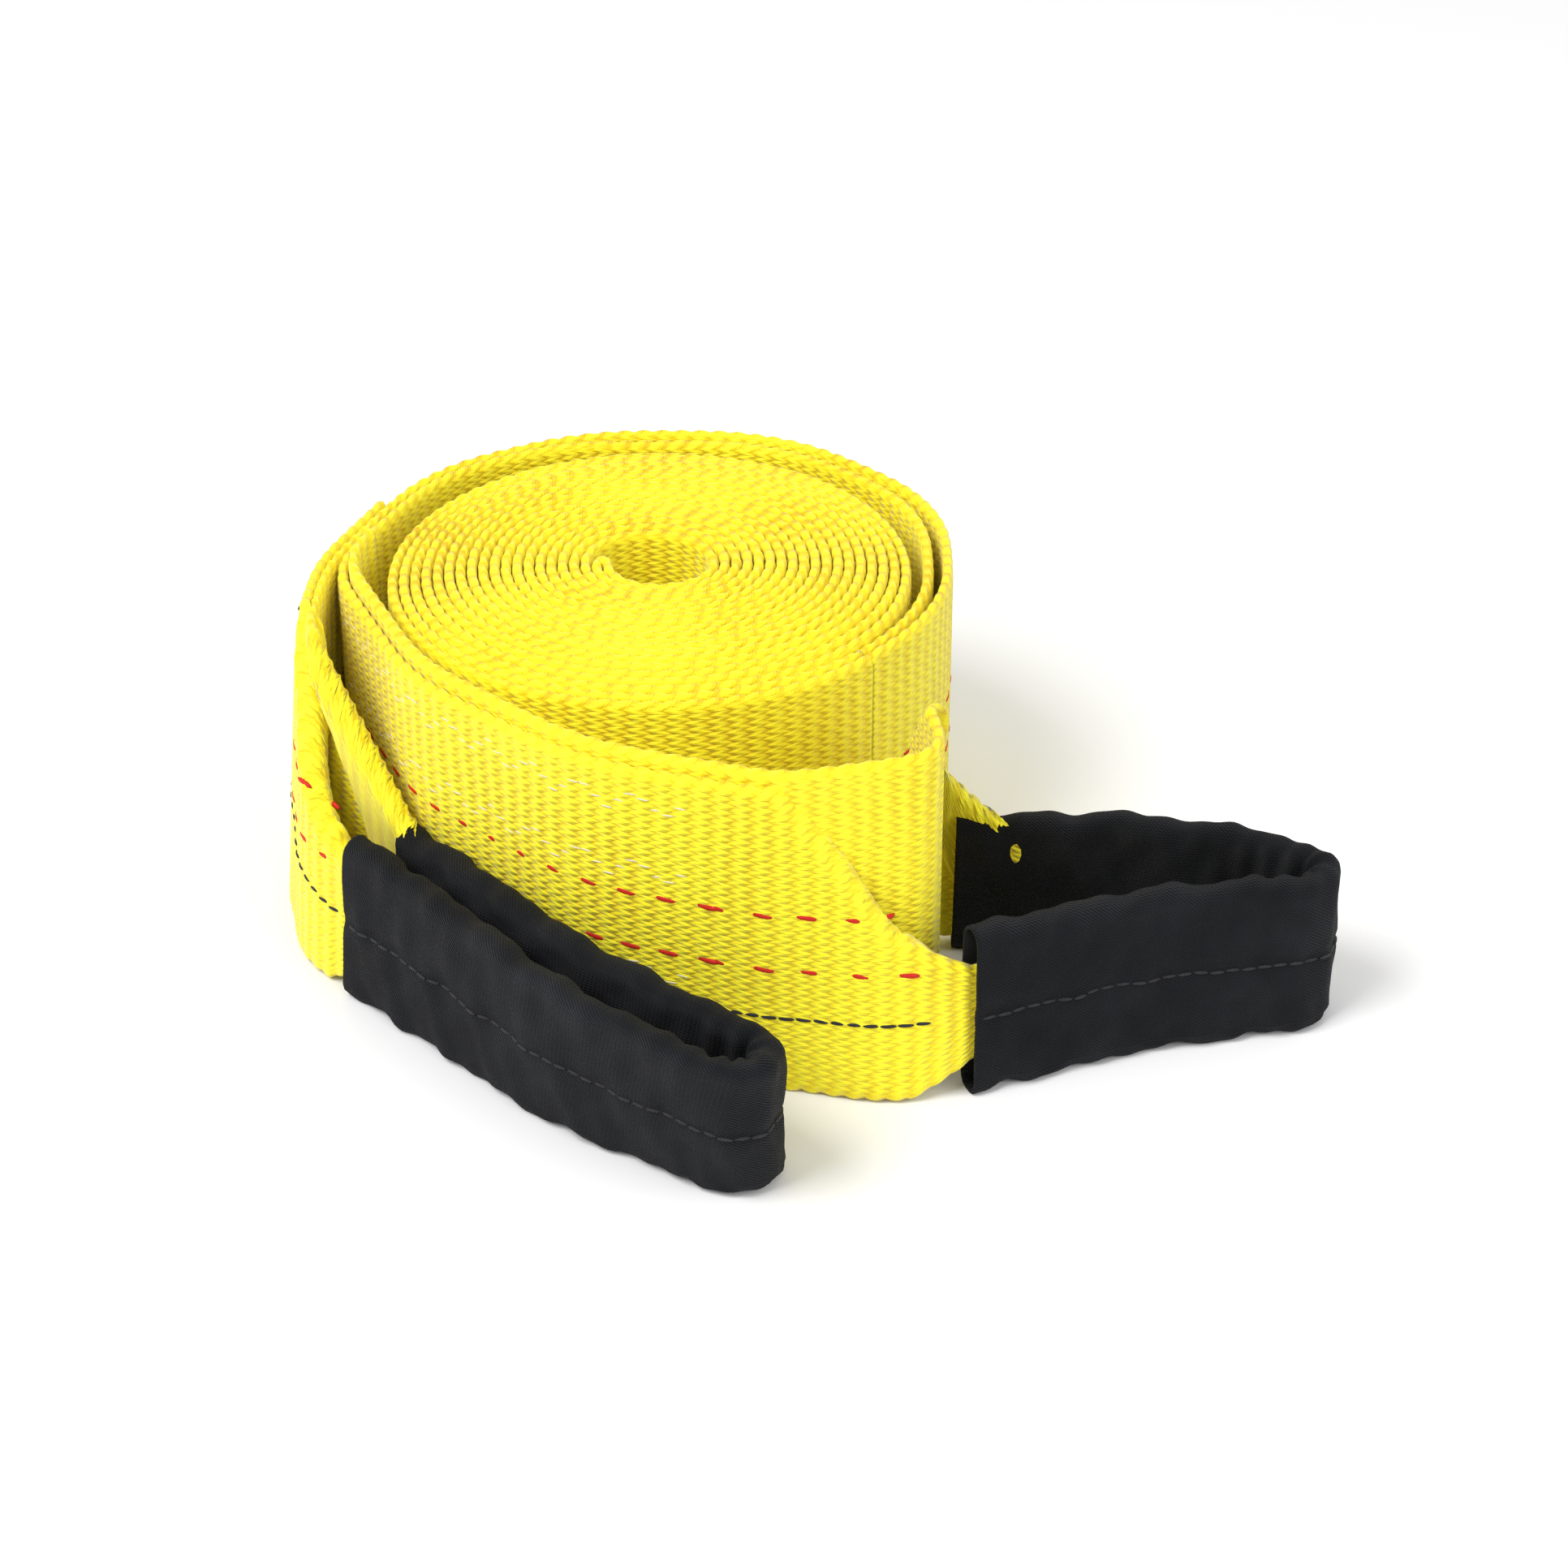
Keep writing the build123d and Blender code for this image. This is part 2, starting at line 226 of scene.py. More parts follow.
def across_places(columns):
    """Shares of the strap's width, closer together towards its selvedges."""
    rim = np.array([0.0, 0.006, 0.018, 0.034])
    return np.concatenate([rim, np.linspace(0.06, 0.94, columns), 1 - rim[::-1]])


def closed_strip(name, rings, along, across):
    """Mesh of a strap from rings of points: its left face going up, then its right face down."""
    stations, size = rings.shape[:2]
    index = np.arange(stations * size).reshape(stations, size)
    a, b = index[:-1], index[1:]
    quads = np.stack([a, np.roll(a, -1, 1), np.roll(b, -1, 1), b], axis=-1).reshape(-1, 4)
    half = size // 2
    low, high = np.arange(half - 1), size - 1 - np.arange(half - 1)
    cap = np.stack([low, low + 1, high - 1, high], axis=1)
    quads = np.concatenate([quads, index[0][cap[:, ::-1]], index[-1][cap]])
    points = rings.reshape(-1, 3)
    p, q, r, s = (points[quads[:, i]] for i in range(4))
    volume = np.sum(np.cross(p, q) * r) + np.sum(np.cross(p, r) * s)
    if volume < 0:
        quads = quads[:, ::-1]
    mesh = bpy.data.meshes.new(name)
    mesh.from_pydata(points.tolist(), [], quads.tolist())
    weave = mesh.uv_layers.new(name="weave")
    corners = np.empty(len(mesh.loops), np.int32)
    mesh.loops.foreach_get("vertex_index", corners)
    station, turn = (part.reshape(-1, 4) for part in np.divmod(corners, size))
    closing = (turn.max(1) == size - 1) & (turn.min(1) == 0) & (np.ptp(station, axis=1) == 1)
    round_trip = np.where(closing[:, None] & (turn == 0), 2 * STRAP_WIDTH, across[turn])
    flat = np.stack([along[station], round_trip], axis=-1)
    weave.data.foreach_set("uv", flat.astype(np.float32).ravel())
    mesh.shade_smooth()
    made = bpy.data.objects.new(name, mesh)
    bpy.context.scene.collection.objects.link(made)
    return made


def webbing_rings(line, lift, lean, crease=None, fold_radius=None, tuck=None, columns=26):
    """Rings of a strap that stands along a line, one ring per station.

    lean is how far the top edge leans over, as (x, y). crease is how high the flat part of
    the strap reaches before it turns over into a flap on the line's left, fold_radius the
    radius that it turns over with, and tuck how far it is squeezed together in a sleeve.
    """
    share = across_places(columns)
    w = share[None, :] * STRAP_WIDTH
    stations = len(line)
    along = np.arange(stations) * STEP
    if crease is None:
        crease = np.full(stations, 2 * STRAP_WIDTH)
        fold_radius = np.full(stations, 2 * MM)
    c, r = crease[:, None], fold_radius[:, None]
    angle = np.clip((w - c) / r, 0, pi)
    down = np.clip(w - c - pi * r, 0, None)
    settled = 2 * r - (2 * r - LAYER_PITCH) * np.clip(down / (14 * MM), 0, 1)
    off = np.where(down > 0, settled, r * (1 - np.cos(angle)))
    z = np.minimum(w, c) + r * np.sin(angle) - down
    slope_off, slope_z = np.sin(angle), np.cos(angle)
    rim = np.minimum(w, STRAP_WIDTH - w) / (1.3 * MM)
    roundness = np.sqrt(np.clip(1 - (1 - np.clip(rim, 0, 1)) ** 2, 0.16, 1))
    edge = np.clip(1 - np.minimum(w, STRAP_WIDTH - w) / (3.2 * MM), 0, 1)
    scallop = np.abs(np.sin(pi * along[:, None] / PICOT_PITCH))
    ribs = 0.11 * MM * np.sin(2 * pi * along[:, None] / WEFT_PITCH)
    half = (HALF_LAYER * (1 - 0.32 * edge * (1 - scallop)) + ribs * (1 - edge)) * roundness
    stretch = 0.55 * MM * edge * (scallop - 0.6) * np.sign(w - STRAP_WIDTH / 2)
    off_mid = off + slope_off * stretch
    z_mid = z + slope_z * stretch + lift[:, None]
    sides = []
    for side in (1, -1):
        o = off_mid + side * half * slope_z
        h = z_mid - side * half * slope_off
        if tuck is not None:
            o = 1.3 * MM + (o - 1.3 * MM) * tuck[:, None]
            h = 19.5 * MM + (h - 19.5 * MM) * tuck[:, None]
        sides.append((o, np.maximum(h, 0.05 * MM)))
    off_ring = np.concatenate([sides[0][0], sides[1][0][:, ::-1]], axis=1)
    z_ring = np.concatenate([sides[0][1], sides[1][1][:, ::-1]], axis=1)
    left = left_of(line)
    xy = line[:, None, :] + left[:, None, :] * off_ring[..., None]
    xy = xy + lean[:, None, :] * (z_ring / STRAP_WIDTH)[..., None]
    rings = np.concatenate([xy, z_ring[..., None]], axis=2)
    return rings, along, np.concatenate([w[0], 2 * STRAP_WIDTH - w[0][::-1]])


def wandering(count, reach, spread):
    """Slow random drift along a line, at most about `reach`."""
    drift = softened(random.normal(size=count), spread)
    return reach * drift / max(np.abs(drift).max(), 1e-9)


def height_of_turn(line):
    """How far a turn rides above the ground: the core high, the last three turns slipped."""
    out = np.hypot(line[:, 0] - core_x, line[:, 1] - core_y) / MM
    return np.interp(out, [11, 20, 44, 50, 55, 60, 64], [2.6, 3.4, 3.2, 2.6, 1.5, 0.7, 0.3]) * MM


hairpin_x = core_x - CORE_RADIUS - LAYER_PITCH + 0.1 * MM
turned = np.arange(4, 178, 6)
nose = [
    (hairpin_x - 1.3 * MM * cos(radians(a)), core_y + 1.3 * MM * sin(radians(a))) for a in turned
]
inner_arm = arm_of_coil(HALF_LAYER)
outer_arm = arm_of_coil(HALF_LAYER + LAYER_PITCH)
doubled_strap = even_steps(outer_arm[::-1] + nose + inner_arm, STEP)
lift = height_of_turn(doubled_strap) + wandering(len(doubled_strap), 0.7 * MM, 14)
lift = np.maximum(lift, 0.1 * MM)
rings, along, across = webbing_rings(doubled_strap, lift, np.zeros((len(lift), 2)), columns=3)
rolled = closed_strip("rolled_strap", rings, along, across)
rolled.data.materials.append(webbing_cloth)
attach(rolled, "roll")
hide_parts("rolled_webbing")

# ---- The strap's two ends, with the eyes folded into them -------------------------------
# Each end leaves the roll, goes round it once and is folded back on itself into an eye. The
# legs of an eye are folded to half width, and its tail is sewn down on the strap.
HALF_GAP = 0.1 * MM
LAYER_SHIFT = HALF_GAP + HALF_LAYER
left_hinge = np.array([-115.763, 6.477]) * MM
right_hinge = np.array([-6.815, -64.979]) * MM


def bent_line(places, bends):
    """Stations along straight runs whose corners are rounded with these radii, in mm."""
    corners = np.array(places, float)
    line = [corners[0]]
    for before, corner, after, radius in zip(corners, corners[1:], corners[2:], bends):
        back = (before - corner) / np.linalg.norm(before - corner)
        ahead = (after - corner) / np.linalg.norm(after - corner)
        half = np.arccos(np.clip(back @ ahead, -1, 1)) / 2
        middle = (back + ahead) / np.linalg.norm(back + ahead)
        centre = corner + middle * radius / sin(half)
        start, end = corner + back * radius / tan(half), corner + ahead * radius / tan(half)
        count = max(3, int((pi - 2 * half) * radius))
        first, last = start - centre, end - centre
        turn = np.arctan2(first[0] * last[1] - first[1] * last[0], first @ last)
        for angle in np.linspace(0, turn, count):
            c, s = cos(angle), sin(angle)
            line.append(centre + np.array([first[0] * c - first[1] * s, first[0] * s + first[1] * c]))
    line.append(corners[-1])
    return even_steps(np.array(line) * MM, STEP)


def nearest(line, place):
    return int(np.argmin(np.linalg.norm(line - np.array(place) * MM, axis=1)))


outer_line = bent_line(
    [
        (15.38, -8.43), (34.8, 14.71), (34.8, 67.5), (-4.2, 106.5),
        (-54.5, 106.5), (-90.78, 85.51), (-113.26, 34.53), (-115.76, 6.48),
    ],
    [62, 52, 52, 60, 50, 60],
)
inner_line = bent_line(
    [
        (11.4, -5.09), (27.6, 14.22), (27.6, 65.0), (-6.3, 98.0), (-58.81, 98.0),
        (-86.71, 81.86), (-107.55, 34.74), (-85.03, -16.54), (-47.38, -51.54), (-6.81, -64.98),
    ],
    [58, 46, 46, 46, 44.8, 26, 60, 70],
)
left_line = bent_line(
    [
        (-115.76, 6.48), (-114.56, -17.52), (-54.24, -79.77), (-12.31, -107.0),
        (-3.58, -93.57), (-47.19, -65.25), (-97.76, -12.02), (-115.76, 6.48),
    ],
    [28, 70, 8, 8, 100, 60],
)
right_line = bent_line(
    [
        (-6.81, -64.98), (23.19, -73.98), (74.19, -52.48), (125.69, -40.98), (102.19, -20.98),
        (70.19, -9.98), (22.19, -8.48), (30.19, -55.48), (-6.81, -64.98),
    ],
    [35, 80, 8.5, 35, 60, 9, 10],
)
left_mouths = nearest(left_line[:120], (-102.5, -30.0)), 120 + nearest(left_line[120:], (-88.2, -22.1))
right_mouths = nearest(right_line[:80], (35.9, -68.6)), 120 + nearest(right_line[120:], (34.2, -8.9))
FOLD_TOP = 38.5 * MM
EYE_FLOOR = 1.0 * MM


def joined(before, eye, after):
    """One smooth line from a layer of the splice, round the eye, and back on the other."""
    meet = int(7 * MM / STEP)
    parts = [part for part in (before, eye[meet:-meet], after) if len(part)]
    line = even_steps(np.concatenate(parts), STEP)
    return softened(line, 3)


def shifted(line, distance):
    return line + left_of(line) * distance


def lean_of_sleeve(stations, stops):
    """How far the sleeve's top leans over at each station, from a few stops along it."""
    shares = np.linspace(0, stations[-1] - stations[0], len(stops))
    stops = np.array(stops, float) * MM
    lean = np.stack([np.interp(stations - stations[0], shares, stops[:, i]) for i in range(2)], axis=1)
    return softened(lean, 8)


def strap_end(name, before, eye, after, mouths, fold_starts, lifts, eye_lean, hinge_lean):
    """Webbing of one end: a layer of the splice, the eye, and the splice's other layer."""
    line = joined(before, eye, after)
    place = np.arange(len(line), dtype=float)
    skipped = len(before) - int(7 * MM / STEP)
    mouth_in, mouth_out = (skipped + mouth for mouth in mouths)
    fold_in, fold_out = (skipped + start for start in fold_starts)
    settled = 1.3 * MM
    folded = [0, fold_in, mouth_in - 3, mouth_out + 3, fold_out, len(line)]
    top = FOLD_TOP - EYE_FLOOR - settled - HALF_LAYER
    crease = np.interp(place, folded, [STRAP_WIDTH, STRAP_WIDTH, top, top, STRAP_WIDTH, STRAP_WIDTH])
    crease = softened(crease, 3)
    radius = np.interp(
        place,
        [0, (fold_in + mouth_in) / 2, mouth_in + 4, mouth_out - 4, (mouth_out + fold_out) / 2, len(line)],
        np.array([3.0, 2.4, 1.3, 1.3, 2.4, 3.0]) * MM,
    )
    lift = np.interp(
        place, [0, fold_in, mouth_in, mouth_out, fold_out, len(line)],
        [lifts[0], lifts[0], EYE_FLOOR, EYE_FLOOR, lifts[1], lifts[1]],
    )
    lift = softened(lift, 6) + wandering(len(line), 0.3 * MM, 22) * (np.abs(crease - top) > MM)
    tuck = np.interp(place, [mouth_in - 1, mouth_in + 12, mouth_out - 12, mouth_out + 1], [1, 0.6, 0.6, 1])
    sleeve_lean = lean_of_sleeve(np.arange(mouth_in, mouth_out + 1), eye_lean) * (STRAP_WIDTH / FOLD_TOP)
    reach = 60 * MM / STEP
    stops = [skipped - reach, skipped, skipped + len(eye), skipped + len(eye) + reach]
    hinge_lean = np.array(hinge_lean) * MM
    lean = np.stack([np.interp(place, stops, [0, h, h, 0]) for h in hinge_lean], axis=1)
    lean[mouth_in : mouth_out + 1] = sleeve_lean
    for near, far, edge in ((fold_in, mouth_in, mouth_in), (fold_out, mouth_out, mouth_out)):
        share = np.clip((place - near) / (far - near), 0, 1)[:, None]
        outside = (place < mouth_in) if far == mouth_in else (place > mouth_out)
        lean = np.where(outside[:, None], lean * (1 - share) + lean[edge] * share, lean)
    lean = softened(lean, 4)
    share_below = np.interp(place, [skipped, mouth_in, mouth_out, skipped + len(eye)], [0.5, 0, 0, 0.5])
    line = line - lean * share_below[:, None]
    rings, along, across = webbing_rings(line, np.maximum(lift, 0.1 * MM), lean, crease, radius, tuck)
    made = closed_strip(name, rings, along, across)
    made.data.materials.append(webbing_cloth)
    return made, rings, skipped


left_eye_lean = [(2, 3), (1, 2), (0, 0), (0, -4), (0, -9), (0, -11), (0, -9), (0, -4), (0, -1), (1, 0), (1, 1)]
right_eye_lean = [(0, 4), (0, 4), (0, 3), (0, 2), (0, 0), (0, -1), (0, -3), (0, -5), (0, -7), (0, -8)]
left_tail = shifted(outer_line[nearest(outer_line, (-99.1, 66.64)) :], -LAYER_SHIFT)
left_strap = shifted(outer_line, LAYER_SHIFT)
left_end, left_rings, left_start = strap_end(
    "left_end_strap", left_tail, left_line, left_strap[::-1], left_mouths,
    (-4, len(left_line) + 3), (0.9 * MM, 0.3 * MM), left_eye_lean, (7, 1),
)
left_bend = ("roll", "left_eye", (0, 0.0165, 0), (0, -0.0035, 0))
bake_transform(left_end)
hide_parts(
    "outer_turn_webbing", "left_splice_strap", "left_splice_tail",
    "left_front_leg", "left_back_leg", "left_eye_loop",
)

right_strap = shifted(inner_line, -LAYER_SHIFT)
right_tail = shifted(inner_line[nearest(inner_line, (-101.92, 47.46)) :], LAYER_SHIFT)
right_end, right_rings, right_start = strap_end(
    "right_end_strap", right_strap, right_line, right_tail[::-1], right_mouths,
    (10, len(right_line) - 38), (0.2 * MM, 3.2 * MM), right_eye_lean, (0, 1),
)
right_bend = ("roll", "right_eye", (-0.0168, 0, 0), (0.0032, 0, 0))
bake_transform(right_end)
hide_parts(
    "inner_turn_webbing", "right_splice_strap", "right_splice_tail",
    "right_front_leg", "right_back_leg", "right_eye_loop",
)

# ---- The wear sleeves --------------------------------------------------------------------
# A tube of tough black twill is pushed over the folded webbing of each eye, flattened round
# it and sewn along its middle. It creases across and puckers where the eye bends back.
SLEEVE_HEIGHT = 39.5 * MM
SLEEVE_RIGHT, SLEEVE_LEFT = -2.2 * MM, 4.8 * MM
SLEEVE_WALL = 0.7 * MM


def sleeve_material():
    material, nodes, links, shader = new_material("black_twill", 0.8)
    shader.inputs["Specular IOR Level"].default_value = 0.14
    shader.inputs["Sheen Weight"].default_value = 0.03
    shader.inputs["Sheen Roughness"].default_value = 0.5
    place = nodes.new("ShaderNodeUVMap")
    place.uv_map = "weave"
    split = nodes.new("ShaderNodeSeparateXYZ")
    links.new(place.outputs[0], split.inputs[0])
    along, across = split.outputs[0], split.outputs[1]
    metres = nodes.new("ShaderNodeTexCoord").outputs["Object"]

    def m(operation, *values):
        return math_node(nodes, links, operation, *values)

    diagonal = m("DIVIDE", m("ADD", along, m("MULTIPLY", across, 1.2)), 0.95 * MM)
    wale = m("SINE", m("MULTIPLY", diagonal, 2 * pi))
    pick = m("SINE", m("MULTIPLY", m("DIVIDE", across, 0.7 * MM), 2 * pi))
    lint = noise(nodes, links, metres, 900, 4.0)
    height = m("ADD", m("ADD", wale, m("MULTIPLY", pick, 0.4)), m("MULTIPLY", lint, 0.8))
    bump(nodes, links, shader, height, 0.16 * MM)
    # The wale term paints the twill's diagonal grooves darker and its crests lighter, following the bump: painted
    # shade. The noise adds random tone.
    tone = m("ADD", m("MULTIPLY", wale, 0.14), noise(nodes, links, metres, 60))
    black = colour_ramp(
        nodes, links, tone, (0.25, (0.004, 0.0045, 0.006)), (0.6, (0.009, 0.0095, 0.012)), (0.9, (0.020, 0.021, 0.025))
    )
    links.new(black, shader.inputs["Base Color"])
    return material


sleeve_twill = sleeve_material()


def wear_sleeve(name, eye, mouths, lean_stops, bight):
    """Flattened tube along the eye's line, with a turned-in mouth at each end."""
    line = eye[mouths[0] : mouths[1] + 1]
    count = len(line)
    left = left_of(line)
    gone = np.arange(count) * STEP
    around = 56
    height, thick = SLEEVE_HEIGHT, SLEEVE_LEFT - SLEEVE_RIGHT
    straight = height - thick
    ends = pi * thick / 2
    girth = 2 * (straight + ends)
    s = np.linspace(0, girth, around, endpoint=False)
    r = thick / 2
    off, z = np.empty(around), np.empty(around)
    for i, t in enumerate(s):
        if t < straight:
            off[i], z[i] = -r, r + t
        elif t < straight + ends:
            a = (t - straight) / r
            off[i], z[i] = -r * cos(a), height - r + r * sin(a)
        elif t < 2 * straight + ends:
            off[i], z[i] = r, height - r - (t - straight - ends)
        else:
            a = (t - 2 * straight - ends) / r
            off[i], z[i] = r * cos(a), r - r * sin(a)
    out_off = off / np.hypot(off / r, np.clip((np.abs(z - height / 2) - straight / 2) / r, 0, None)) / r
    out_z = np.sign(z - height / 2) * np.clip((np.abs(z - height / 2) - straight / 2) / r, 0, None)
    g, q = gone[:, None], s[None, :]
    bend_place = gone[bight]
    near = np.exp(-(((g - bend_place) / (26 * MM)) ** 2))
    phase = random.uniform(0, 2 * pi, 8)
    crease = 0.42 * np.sin(2 * pi * (g + 0.7 * q) / (21 * MM) + phase[0] + 1.3 * np.sin(g / (33 * MM)))
    crease += 0.28 * np.sin(2 * pi * (g - 0.9 * q) / (14.5 * MM) + phase[1] + 1.1 * np.sin(g / (19 * MM)))
    crease += 0.2 * np.sin(2 * pi * (g + 0.2 * q) / (8.3 * MM) + phase[2] + 2 * np.sin(q / (9 * MM)))
    pucker = 0.75 * np.sin(2 * pi * g / (6.4 * MM) + 2.2 * np.sin(q / (11 * MM) + phase[3]))
    inner_side = np.clip(off / r, 0, 1)[None, :]
    proud = crease * (1 - 0.5 * near) + pucker * near * (0.35 + 0.9 * inner_side)
    seam = 0.55 * np.exp(-(((z - height / 2) / (1.6 * MM)) ** 2)) * (off < 0)
    mouth = np.minimum(g, gone[-1] - g)
    flare = 0.25 * np.exp(-((mouth / (5 * MM)) ** 2))
    proud = (proud * np.clip(mouth / (6 * MM), 0.4, 1) - 1.1 * seam[None, :] + flare) * MM
    lean = lean_of_sleeve(np.arange(count), lean_stops)
    rings = []
    for inset in (0, SLEEVE_WALL):
        o = off[None, :] + (SLEEVE_LEFT + SLEEVE_RIGHT) / 2 + out_off[None, :] * (proud - inset)
        h = np.maximum(z[None, :] + out_z[None, :] * (proud - inset), 0.05 * MM + inset)
        xy = line[:, None, :] + left[:, None, :] * o[..., None] + lean[:, None, :] * (h / height)[..., None]
        rings.append(np.concatenate([xy, h[..., None]], axis=2))
    outside, inside = rings
    seam_line = outside[:, int(np.argmin(np.abs(s - straight / 2)))]
    index = np.arange(count * around).reshape(count, around)
    a, b = index[:-1], index[1:]
    skin = np.stack([a, np.roll(a, -1, 1), np.roll(b, -1, 1), b], axis=-1).reshape(-1, 4)
    lining = skin[:, ::-1] + count * around
    rims = []
    for row in (0, -1):
        ring = index[row]
        edge = np.stack([ring, np.roll(ring, -1), np.roll(ring, -1) + count * around, ring + count * around], 1)
        rims.append(edge[:, ::-1] if row == 0 else edge)
    quads = np.concatenate([skin, lining] + rims)
    points = np.concatenate([outside.reshape(-1, 3), inside.reshape(-1, 3)])
    p, c2, c3, c4 = (points[quads[:, i]] for i in range(4))
    if np.sum(np.cross(p, c2) * c3) + np.sum(np.cross(p, c3) * c4) < 0:
        quads = quads[:, ::-1]
    mesh = bpy.data.meshes.new(name)
    mesh.from_pydata(points.tolist(), [], quads.tolist())
    weave = mesh.uv_layers.new(name="weave")
    corners = np.empty(len(mesh.loops), np.int32)
    mesh.loops.foreach_get("vertex_index", corners)
    station, turn = np.divmod(corners % (count * around), around)
    flat = np.stack([gone[station], s[turn]], axis=1).reshape(-1, 4, 2)
    wraps = (turn.reshape(-1, 4).max(1) - turn.reshape(-1, 4).min(1)) > 2
    early = turn.reshape(-1, 4) == 0
    flat[..., 1] += girth * (wraps[:, None] & early)
    weave.data.foreach_set("uv", flat.astype(np.float32).ravel())
    mesh.shade_smooth()
    made = bpy.data.objects.new(name, mesh)
    bpy.context.scene.collection.objects.link(made)
    made.data.materials.append(sleeve_twill)
    return made, seam_line


left_bight_station = nearest(left_line, (-8.0, -100.3)) - left_mouths[0]
right_bight_station = nearest(right_line, (114.0, -37.0)) - right_mouths[0]
left_cover, left_seam = wear_sleeve("left_wear_sleeve", left_line, left_mouths, left_eye_lean, left_bight_station)
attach(left_cover, "left_eye")
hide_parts("left_sleeve")
right_cover, right_seam = wear_sleeve("right_wear_sleeve", right_line, right_mouths, right_eye_lean, right_bight_station)
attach(right_cover, "right_eye")
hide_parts("right_sleeve")

# ---- Sewing threads and tracer yarns ------------------------------------------------------
# Rows of stitches hold the tails down and close the sleeves. Each stitch is a short bar of
# thread that rises out of the cloth and goes back in. The red tracers are floats of warp.


def stitch_tree():
    """Geometry Nodes: bars of thread set out along a line, standing on its outer side."""
    tree = bpy.data.node_groups.new("stitches_along_line", "GeometryNodeTree")
    face = tree.interface
    face.new_socket("Line", in_out="INPUT", socket_type="NodeSocketGeometry")
    named = (("Pitch", 4.0), ("Stitch Length", 3.2), ("Stitch Width", 0.9), ("Stitch Depth", 0.9), ("Tilt", 0.0))
    for label, value in named:
        face.new_socket(label, in_out="INPUT", socket_type="NodeSocketFloat").default_value = value * MM
    face.new_socket("Thread", in_out="INPUT", socket_type="NodeSocketMaterial")
    face.new_socket("Stitches", in_out="OUTPUT", socket_type="NodeSocketGeometry")
    nodes, links = tree.nodes, tree.links
    source, result = nodes.new("NodeGroupInput"), nodes.new("NodeGroupOutput")
    curve = nodes.new("GeometryNodeMeshToCurve")
    points = nodes.new("GeometryNodeCurveToPoints")
    points.mode = "LENGTH"
    bar = nodes.new("GeometryNodeMeshUVSphere")
    bar.inputs["Segments"].default_value = 8
    bar.inputs["Rings"].default_value = 6
    bar.inputs["Radius"].default_value = 0.5
    sizes = nodes.new("ShaderNodeCombineXYZ")
    turn = nodes.new("FunctionNodeAlignRotationToVector")
    turn.axis = "X"
    turn.pivot_axis = "Z"
    tilted = nodes.new("FunctionNodeRotateRotation")
    tilted.rotation_space = "LOCAL"
    tilt = nodes.new("ShaderNodeCombineXYZ")
    spread = nodes.new("GeometryNodeInstanceOnPoints")
    real = nodes.new("GeometryNodeRealizeInstances")
    finish = nodes.new("GeometryNodeSetMaterial")
    links.new(source.outputs["Line"], curve.inputs[0])
    links.new(curve.outputs[0], points.inputs["Curve"])
    links.new(source.outputs["Pitch"], points.inputs["Length"])
    links.new(points.outputs["Tangent"], turn.inputs["Vector"])
    links.new(source.outputs["Tilt"], tilt.inputs["Y"])
    links.new(turn.outputs[0], tilted.inputs["Rotation"])
    to_rotation = nodes.new("FunctionNodeEulerToRotation")
    links.new(tilt.outputs[0], to_rotation.inputs[0])
    links.new(to_rotation.outputs[0], tilted.inputs["Rotate By"])
    links.new(source.outputs["Stitch Length"], sizes.inputs["X"])
    links.new(source.outputs["Stitch Depth"], sizes.inputs["Y"])
    links.new(source.outputs["Stitch Width"], sizes.inputs["Z"])
    links.new(points.outputs["Points"], spread.inputs["Points"])
    links.new(bar.outputs["Mesh"], spread.inputs["Instance"])
    links.new(tilted.outputs[0], spread.inputs["Rotation"])
    links.new(sizes.outputs[0], spread.inputs["Scale"])
    links.new(spread.outputs[0], real.inputs[0])
    links.new(real.outputs[0], finish.inputs["Geometry"])
    links.new(source.outputs["Thread"], finish.inputs["Material"])
    links.new(finish.outputs[0], result.inputs[0])
    return tree


stitches = stitch_tree()


def thread_material(name, colour, dark, roughness):
    material, nodes, links, shader = new_material(name, roughness)
    metres = nodes.new("ShaderNodeTexCoord").outputs["Object"]
    twist = nodes.new("ShaderNodeTexWave")
    twist.inputs["Scale"].default_value = 900
    twist.inputs["Distortion"].default_value = 2.0
    links.new(metres, twist.inputs["Vector"])
    # The colour follows the twist's bump: the dark colour sits in the twist's grooves as painted shade, the lighter
    # one on the crests.
    tone = colour_ramp(nodes, links, twist.outputs["Fac"], (0.1, dark), (0.8, colour))
    links.new(tone, shader.inputs["Base Color"])
    bump(nodes, links, shader, twist.outputs["Fac"], 0.1 * MM)
    return material


# The second colour of each thread is its painted shade in the twist's grooves.
black_thread = thread_material("black_thread", (0.03, 0.03, 0.035), (0.008, 0.008, 0.009), 0.55)
clear_thread = thread_material("clear_thread", (0.86, 0.83, 0.70), (0.62, 0.55, 0.32), 0.35)
red_yarn = thread_material("red_tracer_yarn", (0.72, 0.03, 0.012), (0.50, 0.012, 0.008), 0.6)


